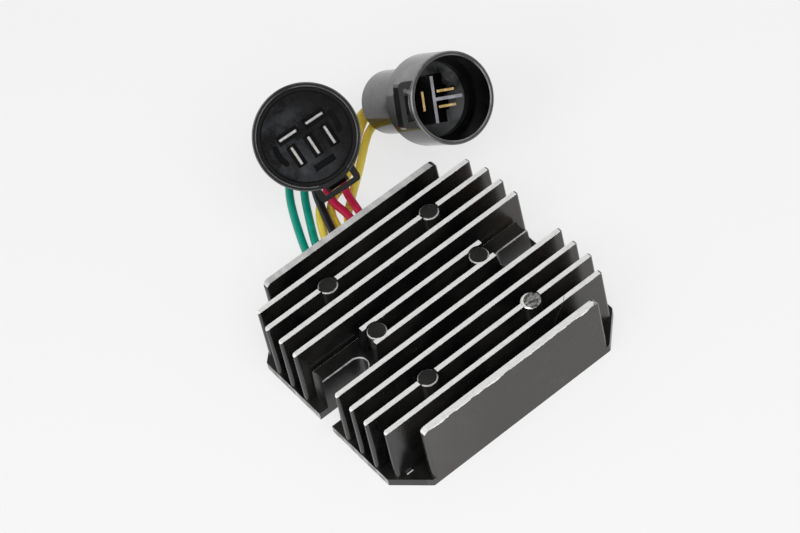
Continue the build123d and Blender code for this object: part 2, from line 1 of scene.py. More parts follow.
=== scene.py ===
import bpy
import json
from math import cos, radians, sin
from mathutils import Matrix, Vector


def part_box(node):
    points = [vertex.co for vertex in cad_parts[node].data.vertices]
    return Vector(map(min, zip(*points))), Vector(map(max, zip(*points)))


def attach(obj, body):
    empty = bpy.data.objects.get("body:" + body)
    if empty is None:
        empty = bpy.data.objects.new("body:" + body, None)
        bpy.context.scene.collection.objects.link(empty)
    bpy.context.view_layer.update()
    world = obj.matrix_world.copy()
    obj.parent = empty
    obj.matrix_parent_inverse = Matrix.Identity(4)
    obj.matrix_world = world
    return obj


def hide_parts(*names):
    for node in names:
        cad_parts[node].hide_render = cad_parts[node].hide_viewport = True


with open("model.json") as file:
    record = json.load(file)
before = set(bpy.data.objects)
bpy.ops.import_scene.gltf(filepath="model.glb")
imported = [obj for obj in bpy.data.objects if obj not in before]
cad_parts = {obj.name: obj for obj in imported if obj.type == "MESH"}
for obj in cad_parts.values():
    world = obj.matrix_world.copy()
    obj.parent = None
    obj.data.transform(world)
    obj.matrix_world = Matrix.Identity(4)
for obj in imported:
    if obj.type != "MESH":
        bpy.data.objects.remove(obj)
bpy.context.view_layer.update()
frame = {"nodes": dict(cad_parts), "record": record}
bpy.ops.object.select_all(action="DESELECT")
print("frame loaded:", len(frame["nodes"]), "nodes")

mm = 0.001

# Camera, where the photo was taken from
cameraSettings = {
    "place": (-0.25835, -0.48342, 0.71650),
    "turn": (38.195, 8.989, -38.674),
    "lens": 127.304,
    "sensorWidth": 36.0,
    "farClip": 20.0,
}


def addCamera(s):
    bpy.ops.object.camera_add(location=s["place"], rotation=[radians(a) for a in s["turn"]])
    camera = bpy.context.object
    camera.name = "photoCamera"
    camera.data.lens = s["lens"]
    camera.data.sensor_width = s["sensorWidth"]
    camera.data.clip_end = s["farClip"]
    bpy.context.scene.camera = camera


addCamera(cameraSettings)
print("camera set")


# Shader helpers: a value is a number, a colour or the output of another node
def startMaterial(name):
    material = bpy.data.materials.new(name)
    material.use_nodes = True
    tree = material.node_tree
    return material, tree, tree.nodes["Principled BSDF"]


def join(tree, output, entry):
    tree.links.new(output, entry)


def feed(tree, value, entry):
    if isinstance(value, (int, float)):
        entry.default_value = value
    elif isinstance(value, tuple):
        entry.default_value = (*value, 1.0)
    else:
        join(tree, value, entry)


def mathNode(tree, operation, *values):
    node = tree.nodes.new("ShaderNodeMath")
    node.operation = operation
    for value, entry in zip(values, node.inputs):
        feed(tree, value, entry)
    return node.outputs[0]


def vectorNode(tree, operation, first, second=None):
    node = tree.nodes.new("ShaderNodeVectorMath")
    node.operation = operation
    join(tree, first, node.inputs[0])
    if second is not None:
        node.inputs[1].default_value = second
    return node.outputs


# In a Mix node, sockets 2 and 3 take the two numbers, and 6 and 7 the two colours
def mixValue(tree, factor, first, second):
    node = tree.nodes.new("ShaderNodeMix")
    node.data_type = "FLOAT"
    for value, socket in ((factor, 0), (first, 2), (second, 3)):
        feed(tree, value, node.inputs[socket])
    return node.outputs[0]


def mixColor(tree, factor, first, second):
    node = tree.nodes.new("ShaderNodeMix")
    node.data_type = "RGBA"
    for value, socket in ((factor, 0), (first, 6), (second, 7)):
        feed(tree, value, node.inputs[socket])
    return node.outputs[2]


def separate(tree, vector):
    node = tree.nodes.new("ShaderNodeSeparateXYZ")
    join(tree, vector, node.inputs[0])
    return node.outputs


def objectPoint(tree, stretch=(1.0, 1.0, 1.0)):
    coordinates = tree.nodes.new("ShaderNodeTexCoord")
    mapping = tree.nodes.new("ShaderNodeMapping")
    mapping.inputs["Scale"].default_value = stretch
    join(tree, coordinates.outputs["Object"], mapping.inputs["Vector"])
    return mapping.outputs["Vector"]


def surfaceNormal(tree):
    return tree.nodes.new("ShaderNodeNewGeometry").outputs["Normal"]


noiseMiddle = 0.5


def noise(tree, scale, detail=3.0, roughness=0.55, stretch=(1.0, 1.0, 1.0)):
    node = tree.nodes.new("ShaderNodeTexNoise")
    node.inputs["Scale"].default_value = scale
    node.inputs["Detail"].default_value = detail
    node.inputs["Roughness"].default_value = roughness
    join(tree, objectPoint(tree, stretch), node.inputs["Vector"])
    return node.outputs["Fac"]


def ramp(tree, value, low, high, lowOut=0.0, highOut=1.0):
    node = tree.nodes.new("ShaderNodeMapRange")
    node.clamp = True
    join(tree, value, node.inputs["Value"])
    node.inputs["From Min"].default_value = low
    node.inputs["From Max"].default_value = high
    node.inputs["To Min"].default_value = lowOut
    node.inputs["To Max"].default_value = highOut
    return node.outputs["Result"]


def bump(tree, shader, height, strength, distance):
    node = tree.nodes.new("ShaderNodeBump")
    node.inputs["Strength"].default_value = strength
    node.inputs["Distance"].default_value = distance
    join(tree, height, node.inputs["Height"])
    join(tree, node.outputs["Normal"], shader.inputs["Normal"])


# Masks run from 0 to 1: times multiplies them, also by a share, and anyOf takes the largest
def times(tree, first, *others):
    for other in others:
        first = mathNode(tree, "MULTIPLY", first, other)
    return first


def anyOf(tree, first, *others):
    for other in others:
        first = mathNode(tree, "MAXIMUM", first, other)
    return first


def over(tree, value, limit):
    return mathNode(tree, "GREATER_THAN", value, limit)


def below(tree, value, limit):
    return mathNode(tree, "LESS_THAN", value, limit)


def between(tree, value, low, high):
    return times(tree, over(tree, value, low), below(tree, value, high))


def minus(tree, value, amount):
    return mathNode(tree, "SUBTRACT", value, amount)


def distanceFrom(tree, x, y, place):
    alongX = mathNode(tree, "POWER", minus(tree, x, place[0]), 2.0)
    alongY = mathNode(tree, "POWER", minus(tree, y, place[1]), 2.0)
    return mathNode(tree, "SQRT", mathNode(tree, "ADD", alongX, alongY))


# Where a point lies, which way it faces and what each named pattern gives there
def readSurface(tree, patterns):
    on = dict(zip(("x", "y", "z"), separate(tree, objectPoint(tree))))
    on.update(zip(("facingX", "facingY", "facingZ"), separate(tree, surfaceNormal(tree))))
    for name, values in patterns.items():
        on[name] = noise(tree, **values)
    return on


# Heat sink: black paint over a casting, milled bare along the fin tops
sinkLow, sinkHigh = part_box("heat_sink")
finTop = sinkHigh[2]
padTop = finTop - 0.5 * mm
bossTop = finTop - 10.0 * mm
plateTop = 3.0 * mm
outerFin = 3.25 * mm  # each outer fin lies within this of the plate's long side
padRadius = 3.25 * mm

# Two numbers are where a ramp or a band starts and ends, and four also what the ramp gives there
sinkSettings = {
    # noise patterns, from the broadest to the finest
    "patterns": {
        "patches": {"scale": 55.0, "detail": 4.0},
        "haze": {"scale": 130.0, "detail": 6.0, "roughness": 0.7},
        "wave": {"scale": 230.0, "detail": 5.0, "roughness": 0.62, "stretch": (1.0, 0.2, 0.2)},
        "blotches": {"scale": 240.0, "detail": 4.0, "roughness": 0.6},
        "rubbing": {"scale": 420.0},
        "nicks": {"scale": 900.0, "roughness": 0.65},
        "mottle": {"scale": 1100.0, "detail": 4.0, "roughness": 0.6, "stretch": (0.6, 1.0, 1.0)},
        "specks": {"scale": 1400.0, "detail": 2.0, "roughness": 0.5},
        "grain": {"scale": 1500.0, "detail": 2.0},
        "streaks": {"scale": 2600.0, "stretch": (0.12, 1.0, 1.0)},
    },
    "milled": {
        "paintTop": finTop - 0.05 * mm,
        "chip": 0.26 * mm, "chipped": (0.5, 0.75),  # how far down the paint is chipped, and where
        "frontFin": sinkLow[1] + outerFin, "frontChip": 0.75 * mm, "frontChipped": (0.4, 0.66),
        "roundedFrom": -28.0 * mm, "roundedFacing": 0.3, "roundedBottom": finTop - 1.2 * mm,
    },
    "edges": {
        "facing": (0.45, 0.9),
        "padHeights": (padTop - 0.4 * mm, padTop + 0.02 * mm), "padShare": 0.42,
        # on the raised ends, edges facing +y get more bare metal as a painted highlight
        "bossHeights": (bossTop - 0.4 * mm, bossTop + 0.02 * mm), "bossShare": (0.1, 0.4, 0.42, 0.78),
        "rubbed": (0.3, 0.46, 0.55, 1.0),
    },
    "brightPad": {
        "middle": (20.7 * mm, -25.2 * mm),
        "heights": (padTop - 0.4 * mm, padTop + 0.05 * mm),
        "tarnishMiddle": (21.4 * mm, -25.74 * mm), "tarnishRadius": padRadius - 0.1 * mm,
        "tarnish": (0.4, 0.62, 1.0, 0.6),
    },
    # the bare patches on the plate's end faces are partly a painted highlight
    "scuffs": {
        "endFacing": 0.9, "scuffed": (0.42, 0.6, 0.08, 0.5),
        "scrapeX": (-40.5 * mm, -38.1 * mm), "scrapeY": (-34.4 * mm, -33.95 * mm),
        "scrapeTop": plateTop + 0.3 * mm, "scrapeShare": 0.8,
    },
    "metal": {
        "bright": (0.94, 0.94, 0.93), "dull": (0.77, 0.77, 0.76), "streaked": (0.72, 1.1),
        "backFin": sinkHigh[1] - outerFin, "wornColor": (0.5, 0.5, 0.495), "worn": (0.66, 0.4, 0.3, 0.9),
        "tarnishColor": (0.055, 0.057, 0.047),
        "scratchColor": (0.02, 0.02, 0.02),
        "metallic": 0.3, "roughness": 0.36,
    },
    "paint": {
        "color": (0.005, 0.005, 0.005), "dusty": (0.022, 0.0205, 0.019), "dustyWhere": (0.38, 0.75),
        "film": (0.023, 0.0165, 0.0115), "filmPale": (0.05, 0.044, 0.042),
        "frontward": -0.5, "frontFace": sinkLow[1] + 1.55 * mm, "filmed": (0.3, 0.7, 0.55, 1.0),
        "handled": (26.0 * mm, 42.0 * mm, 0.0, 0.6),  # along x
        "paleToward": (-6.0 * mm, -36.0 * mm), "palePatches": (0.3, 0.6, 0.4, 1.0),  # along x
        "paleHaze": (0.56, 0.7, 0.0, 0.5),
        "dust": (0.16, 0.155, 0.15), "speckled": (0.72, 0.78, 0.0, 0.6), "scratchShare": 0.5,
        "roughness": (0.3, 0.7, 0.17, 0.35), "ior": 1.6,
    },
    "scratch": {
        "place": (27.4 * mm, -33.4 * mm, finTop), "halfWidth": 0.11 * mm,
        "leanUp": 0.74, "leanBack": 0.8, "sway": 1.6 * mm,
        "toFront": 0.6 * mm, "toBack": 2.4 * mm, "down": 7.0 * mm,
    },
    "bump": {"strength": 0.22, "distance": 0.06 * mm},
}


# The paint stops a little below the tops, further down where it is chipped and on the front fin
def milledTops(tree, on, s):
    chipDepth = times(tree, ramp(tree, on["nicks"], *s["chipped"]), s["chip"])
    frontDepth = times(tree, ramp(tree, on["wave"], *s["frontChipped"]), s["frontChip"])
    frontDepth = times(tree, below(tree, on["y"], s["frontFin"]), frontDepth)
    paintTop = minus(tree, s["paintTop"], mathNode(tree, "ADD", chipDepth, frontDepth))
    # the rounded ends of the tops are bare toward -x
    rounded = times(
        tree, over(tree, on["facingZ"], s["roundedFacing"]), over(tree, on["z"], s["roundedBottom"]),
        below(tree, on["x"], s["roundedFrom"]))
    return anyOf(tree, over(tree, on["z"], paintTop), rounded)


# The broken edges of the pads and of the two raised ends are rubbed bright; on the ends the bare share
# grows toward +y as a painted highlight
def rubbedAndHighlightedEdges(tree, on, s):
    broken = between(tree, on["facingZ"], *s["facing"])
    padEdges = times(tree, broken, between(tree, on["z"], *s["padHeights"]), s["padShare"])
    bossShare = ramp(tree, on["facingY"], *s["bossShare"])
    bossEdges = times(tree, broken, between(tree, on["z"], *s["bossHeights"]), bossShare)
    return times(tree, anyOf(tree, padEdges, bossEdges), ramp(tree, on["rubbing"], *s["rubbed"]))


# One pad lost its paint
def brightPad(tree, on, s):
    within = below(tree, distanceFrom(tree, on["x"], on["y"], s["middle"]), padRadius)
    return times(tree, within, between(tree, on["z"], *s["heights"]))


# The pad's bare metal is tarnished all over apart from a crescent
def tarnishedPad(tree, on, s):
    within = below(tree, distanceFrom(tree, on["x"], on["y"], s["tarnishMiddle"]), s["tarnishRadius"])
    return times(tree, brightPad(tree, on, s), within, ramp(tree, on["mottle"], *s["tarnish"]))


# The plate's two end faces are scuffed bare in patches, partly as a painted highlight on them, and one
# short scrape shows at the foot of a fin
def scuffedAndHighlightedPlate(tree, on, s):
    ends = over(tree, mathNode(tree, "ABSOLUTE", on["facingX"]), s["endFacing"])
    ends = times(tree, ends, below(tree, on["z"], plateTop), ramp(tree, on["blotches"], *s["scuffed"]))
    scrape = times(
        tree, between(tree, on["x"], *s["scrapeX"]), between(tree, on["y"], *s["scrapeY"]),
        below(tree, on["z"], s["scrapeTop"]), s["scrapeShare"])
    return anyOf(tree, ends, scrape)


# One fine scratch runs over the second fin from the front and down its face
def fineScratch(tree, on, s):
    x, y, z = s["place"]
    leaning = times(tree, minus(tree, on["z"], z), s["leanUp"])
    across = minus(tree, minus(tree, on["x"], x), leaning)
    across = minus(tree, across, times(tree, minus(tree, on["y"], y), s["leanBack"]))
    swaying = times(tree, minus(tree, on["blotches"], noiseMiddle), s["sway"])
    across = mathNode(tree, "ADD", across, swaying)
    return times(
        tree, below(tree, mathNode(tree, "ABSOLUTE", across), s["halfWidth"]),
        between(tree, on["y"], y - s["toFront"], y + s["toBack"]), over(tree, on["z"], z - s["down"]))


# Milling streaks run along the fins, and the back fin kept a film of its paint
def bareMetal(tree, on, s, tarnished, scratched):
    streaked = ramp(tree, mathNode(tree, "ADD", on["streaks"], on["mottle"]), *s["streaked"])
    metal = mixColor(tree, streaked, s["dull"], s["bright"])
    worn = times(tree, over(tree, on["y"], s["backFin"]), ramp(tree, on["wave"], *s["worn"]))
    metal = mixColor(tree, worn, metal, s["wornColor"])
    metal = mixColor(tree, tarnished, metal, s["tarnishColor"])
    return mixColor(tree, scratched, metal, s["scratchColor"])


# A warm film lies on the front face and on handled ends, and dust everywhere as small specks
def blackPaint(tree, on, s, scratched):
    paint = mixColor(tree, ramp(tree, on["patches"], *s["dustyWhere"]), s["color"], s["dusty"])
    frontward = below(tree, on["facingY"], s["frontward"])
    frontFace = times(tree, below(tree, on["y"], s["frontFace"]), frontward)
    filmed = anyOf(
        tree, times(tree, frontFace, ramp(tree, on["patches"], *s["filmed"])),
        times(tree, frontward, ramp(tree, on["x"], *s["handled"])))
    pale = times(tree, ramp(tree, on["x"], *s["paleToward"]), ramp(tree, on["patches"], *s["palePatches"]))
    pale = anyOf(tree, pale, ramp(tree, on["haze"], *s["paleHaze"]))
    paint = mixColor(tree, filmed, paint, mixColor(tree, pale, s["film"], s["filmPale"]))
    paint = mixColor(tree, ramp(tree, on["specks"], *s["speckled"]), paint, s["dust"])
    return mixColor(tree, times(tree, scratched, s["scratchShare"]), paint, s["dust"])


def paintedCasting(s):
    material, tree, shader = startMaterial("paintedCasting")
    on = readSurface(tree, s["patterns"])
    bare = anyOf(
        tree, milledTops(tree, on, s["milled"]), scuffedAndHighlightedPlate(tree, on, s["scuffs"]),
        rubbedAndHighlightedEdges(tree, on, s["edges"]), brightPad(tree, on, s["brightPad"]))
    scratched = fineScratch(tree, on, s["scratch"])
    metal = bareMetal(tree, on, s["metal"], tarnishedPad(tree, on, s["brightPad"]), scratched)
    paint = blackPaint(tree, on, s["paint"], scratched)
    join(tree, mixColor(tree, bare, paint, metal), shader.inputs["Base Color"])
    join(tree, times(tree, bare, s["metal"]["metallic"]), shader.inputs["Metallic"])
    paintRoughness = ramp(tree, on["patches"], *s["paint"]["roughness"])
    join(tree, mixValue(tree, bare, paintRoughness, s["metal"]["roughness"]), shader.inputs["Roughness"])
    shader.inputs["IOR"].default_value = s["paint"]["ior"]
    bump(tree, shader, on["grain"], **s["bump"])
    return material


# Moulded connector plastic: inside the cup black, darkened as painted shade, with a painted reflection on
# part of its floor; outside it paler above as painted highlight, darker below as painted shade, and lighter
# at the mouth's edges, partly rubbed and partly a painted highlight
nylonSettings = {
    "patterns": {
        "haze": {"scale": 70.0, "detail": 6.0, "roughness": 0.66},
        "broad": {"scale": 110.0, "detail": 5.0, "roughness": 0.6},
        "scuffs": {"scale": 420.0, "detail": 5.0, "roughness": 0.72},
        "grain": {"scale": 1300.0, "detail": 2.0},
    },
    "floorSlack": (-0.1 * mm, 0.2 * mm),  # below and above the face that the blades stand out of
    # the first two ramps place the painted reflection on the cup's floor; upward turns the outer colour
    # from painted shade below to painted highlight above
    "paintedSheenSides": (0.1, 1.0), "paintedSheenShare": (0.44, 0.62, 0.03, 1.0),
    "pale": (0.35, 0.7), "upward": (-0.1, 0.7),
    "latchFrom": 0.15 * mm, "rimFace": -0.4 * mm, "rimShare": 0.8,
    "scuffed": (0.56, 0.74), "scuffColor": (0.14, 0.14, 0.145),
    "boreEdge": 0.3 * mm, "cupEdge": (-0.37 * mm, 0.02 * mm), "edgeDepth": -0.37 * mm,  # at the mouth
    "rubbed": (0.35, 0.6, 0.25, 0.9),
    "polished": (0.3, 0.7), "smoother": 0.06, "rougher": 0.12,
    "bump": {"strength": 0.1, "distance": 0.04 * mm},
}
connectorSettings = {
    "fiveWay": {
        **nylonSettings,
        "mouth": Vector((4.7, 63.7, 44.8)) * mm, "azimuth": -25.7, "elevation": 47.9,
        "bore": 16.15 * mm, "cup": 17.5 * mm, "core": 15.2 * mm, "floorDepth": 16.1 * mm,
        "paintedSheenFrom": 17.0 * mm, "paintedSheenTo": 1.0 * mm,
        # inside is the plastic darkened as painted shade, the floor patch colour a painted reflection, the
        # pale outer colour partly a painted highlight, the colour below its own dark, and the rubbed colour
        # partly a painted highlight
        "inside": (0.0015, 0.0015, 0.0018), "paintedSheen": (0.054, 0.058, 0.066),
        "outside": (0.004, 0.004, 0.0045), "outsidePale": (0.014, 0.014, 0.015),
        "under": (0.004, 0.004, 0.0045), "rubAndHighlight": (0.16, 0.16, 0.165),
        "scuffShare": 0.07, "roughness": 0.2, "ior": 1.43, "insideIor": 1.29,
    },
    "threeWay": {
        **nylonSettings,
        "mouth": Vector((50.7, 46.5, 38.9)) * mm, "azimuth": 5.5, "elevation": 37.4,
        "bore": 13.85 * mm, "cup": 15.2 * mm, "core": 10.0 * mm, "floorDepth": 15.6 * mm,
        "paintedSheenFrom": 42.0 * mm, "paintedSheenTo": 56.0 * mm,
        # inside is the black plastic; the floor patch colour is a painted reflection, the two pale outer
        # colours a painted highlight on that black plastic, the colour below its own dark, and the rubbed
        # colour partly a painted highlight
        "inside": (0.002, 0.002, 0.0022), "paintedSheen": (0.1, 0.103, 0.106),
        "outside": (0.145, 0.144, 0.142), "outsidePale": (0.24, 0.238, 0.235),
        "under": (0.014, 0.0137, 0.0134), "rubAndHighlight": (0.24, 0.24, 0.24),
        "scuffShare": 0.12, "roughness": 0.14, "ior": 1.5, "insideIor": 1.32,
    },
}


def connectorAxis(s):
    turn, lift = radians(s["azimuth"]), radians(s["elevation"])
    return (sin(turn) * cos(lift), -cos(turn) * cos(lift), sin(lift))


# A point's distance from the connector's axis, and its height along it from the mouth
def readConnector(tree, s):
    axis = connectorAxis(s)
    fromMouth = vectorNode(tree, "SUBTRACT", objectPoint(tree), s["mouth"])["Vector"]
    across = vectorNode(tree, "CROSS_PRODUCT", fromMouth, axis)["Vector"]
    radius = vectorNode(tree, "LENGTH", across)["Value"]
    return radius, vectorNode(tree, "DOT_PRODUCT", fromMouth, axis)["Value"]


# A painted reflection in patches on one part of the face that the blades stand out of, whose pockets stay
# black; elsewhere the cup takes the inside colour, darkened as painted shade
def cupInside(tree, on, height, s):
    floorHeight = -s["floorDepth"]
    onFloor = between(tree, height, floorHeight, floorHeight + s["floorSlack"][1])
    oneSided = ramp(tree, on["x"], s["paintedSheenFrom"], s["paintedSheenTo"], *s["paintedSheenSides"])
    paintedSheenShare = times(tree, onFloor, oneSided, ramp(tree, on["haze"], *s["paintedSheenShare"]))
    return mixColor(tree, paintedSheenShare, s["inside"], s["paintedSheen"])


# Paler above and darker below as painted highlight and painted shade; its latch and the face of its rim
# keep the plastic's dark colour
def cupOutside(tree, on, radius, height, s):
    outside = mixColor(tree, ramp(tree, on["broad"], *s["pale"]), s["outside"], s["outsidePale"])
    outside = mixColor(tree, ramp(tree, on["facingZ"], *s["upward"]), s["under"], outside)
    latch = over(tree, radius, s["cup"] + s["latchFrom"])
    rimFace = times(tree, over(tree, height, s["rimFace"]), s["rimShare"])
    return mixColor(tree, anyOf(tree, latch, rimFace), outside, s["under"])


# The two broken edges of its mouth are lighter: rubbed, and partly a painted highlight
def mouthEdges(tree, on, radius, height, s):
    low, high = s["cupEdge"]
    edges = anyOf(
        tree, below(tree, radius, s["bore"] + s["boreEdge"]),
        between(tree, radius, s["cup"] + low, s["cup"] + high))
    return times(tree, edges, over(tree, height, s["edgeDepth"]), ramp(tree, on["broad"], *s["rubbed"]))


def connectorNylon(name, s):
    material, tree, shader = startMaterial(name)
    on = readSurface(tree, s["patterns"])
    radius, height = readConnector(tree, s)
    inCup = times(
        tree, below(tree, radius, s["bore"]), over(tree, height, s["floorSlack"][0] - s["floorDepth"]))
    inner = anyOf(tree, inCup, below(tree, radius, s["core"]))
    color = mixColor(
        tree, inner, cupOutside(tree, on, radius, height, s), cupInside(tree, on, height, s))
    scuffed = times(tree, ramp(tree, on["scuffs"], *s["scuffed"]), over(tree, height, -s["floorDepth"]))
    color = mixColor(tree, times(tree, scuffed, s["scuffShare"]), color, s["scuffColor"])
    color = mixColor(tree, mouthEdges(tree, on, radius, height, s), color, s["rubAndHighlight"])
    join(tree, color, shader.inputs["Base Color"])
    smoothest, roughest = s["roughness"] - s["smoother"], s["roughness"] + s["rougher"]
    join(tree, ramp(tree, on["broad"], *s["polished"], smoothest, roughest), shader.inputs["Roughness"])
    join(tree, mixValue(tree, inner, s["ior"], s["insideIor"]), shader.inputs["IOR"])
    bump(tree, shader, on["grain"], **s["bump"])
    return material


# The three-way connector's divider: pale along the edge that faces out of the cup, dark at its sides as
# painted shade
dividerSettings = {
    # the side colour is painted shade
    "color": (0.36, 0.36, 0.4), "side": (0.012, 0.012, 0.013),
    "outward": 0.7, "pale": (0.3, 0.7, 0.6, 1.0), "roughness": (0.3, 0.7, 0.3, 0.42),
    "mottle": {"scale": 300.0}, "grain": {"scale": 1800.0, "detail": 2.0},
    "bump": {"strength": 0.15, "distance": 0.04 * mm},
}


def dividerNylon(name, s, axis):
    material, tree, shader = startMaterial(name)
    mottle = noise(tree, **s["mottle"])
    facingOut = vectorNode(tree, "DOT_PRODUCT", surfaceNormal(tree), axis)["Value"]
    pale = times(tree, over(tree, facingOut, s["outward"]), ramp(tree, mottle, *s["pale"]))
    join(tree, mixColor(tree, pale, s["side"], s["color"]), shader.inputs["Base Color"])
    join(tree, ramp(tree, mottle, *s["roughness"]), shader.inputs["Roughness"])
    bump(tree, shader, noise(tree, **s["grain"]), **s["bump"])
    return material


# A finish of two mottled colours, whose roughness follows them, under a fine grain
def mottledFinish(name, color, deep, roughness, metallic, s):
    material, tree, shader = startMaterial(name)
    mottle = noise(tree, **s["mottle"])
    join(tree, mixColor(tree, ramp(tree, mottle, *s["colored"]), deep, color), shader.inputs["Base Color"])
    low, high = s["spread"]
    shine = ramp(tree, mottle, *s["shaded"], roughness + low, roughness + high)
    join(tree, shine, shader.inputs["Roughness"])
    shader.inputs["Metallic"].default_value = metallic
    bump(tree, shader, noise(tree, **s["grain"]), **s["bump"])
    return material


# Extruded insulation of the leads
insulationSettings = {
    "colored": (0.35, 0.7), "shaded": (0.3, 0.7), "spread": (-0.05, 0.08),
    "mottle": {"scale": 260.0}, "grain": {"scale": 900.0, "detail": 2.0},
    "bump": {"strength": 0.12, "distance": 0.05 * mm},
    "roughness": 0.36,
    "colors": {
        "green_insulation": ("greenInsulation", (0.003, 0.38, 0.28), (0.0, 0.3, 0.21)),
        "black_insulation": ("blackInsulation", (0.018, 0.018, 0.022), (0.009, 0.009, 0.012)),
        "yellow_insulation": ("yellowInsulation", (0.98, 0.8, 0.13), (0.94, 0.71, 0.07)),
        "red_insulation": ("redInsulation", (0.68, 0.022, 0.085), (0.5, 0.01, 0.05)),
    },
}

# Stamped blades, stained a little
bladeSettings = {
    "colored": (0.3, 0.65), "shaded": (0.3, 0.7), "spread": (0.12, 0.0),
    "mottle": {"scale": 700.0, "detail": 4.0}, "grain": {"scale": 2400.0, "detail": 2.0},
    "bump": {"strength": 0.1, "distance": 0.03 * mm},
    "roughness": 0.22,
    "metals": {
        "tinned_blade": ("tinnedBlade", (0.85, 0.85, 0.83), (0.6, 0.59, 0.57)),
        "brass_blade": ("brassBlade", (0.85, 0.63, 0.29), (0.5, 0.32, 0.11)),
    },
}

# The resin, the seals and the parts of the circuit: two colours, roughness and metallic
plainSettings = {
    "colored": (0.3, 0.7), "shaded": (0.3, 0.7), "spread": (-0.05, 0.07),
    "mottle": {"scale": 300.0}, "grain": {"scale": 1800.0, "detail": 2.0},
    "bump": {"strength": 0.2, "distance": 0.05 * mm},
    "kinds": {
        "potting": ("pottingResin", (0.03, 0.03, 0.032), (0.015, 0.015, 0.017), 0.28, 0.0),
        "board_metal": ("boardMetal", (0.7, 0.7, 0.71), (0.6, 0.6, 0.6), 0.4, 1.0),
        "package_black": ("packageEpoxy", (0.03, 0.03, 0.03), (0.02, 0.02, 0.02), 0.6, 0.0),
        "copper": ("copperTab", (0.85, 0.48, 0.32), (0.7, 0.36, 0.22), 0.3, 1.0),
        "capacitor_can": ("capacitorCan", (0.75, 0.75, 0.77), (0.65, 0.65, 0.66), 0.3, 1.0),
        "ceramic": ("ceramicChip", (0.6, 0.5, 0.38), (0.5, 0.42, 0.3), 0.5, 0.0),
        "diode_glass": ("diodeGlass", (0.6, 0.22, 0.1), (0.5, 0.16, 0.07), 0.1, 0.0),
        "seal_rubber": ("sealRubber", (0.03, 0.03, 0.03), (0.018, 0.018, 0.018), 0.7, 0.0),
    },
}


def makeFinishes():
    fiveWay, threeWay = connectorSettings["fiveWay"], connectorSettings["threeWay"]
    made = {
        "black_paint": paintedCasting(sinkSettings),
        "dark_nylon": connectorNylon("darkNylon", fiveWay),
        "grey_nylon": connectorNylon("charcoalNylon", threeWay),
        "pale_nylon": dividerNylon("paleNylon", dividerSettings, connectorAxis(threeWay)),
    }
    for slot, look in insulationSettings["colors"].items():
        made[slot] = mottledFinish(*look, insulationSettings["roughness"], 0.0, insulationSettings)
    for slot, look in bladeSettings["metals"].items():
        made[slot] = mottledFinish(*look, bladeSettings["roughness"], 1.0, bladeSettings)
    for slot, look in plainSettings["kinds"].items():
        made[slot] = mottledFinish(*look, plainSettings)
    return made


finishes = makeFinishes()
slotOf = {part["node"]: part["material_slot"] for part in frame["record"]["subparts"]}
for nodeName, cadNode in frame["nodes"].items():
    cadNode.data.materials.clear()
    cadNode.data.materials.append(finishes[slotOf[nodeName]])
print("finishes on", len(frame["nodes"]), "nodes")

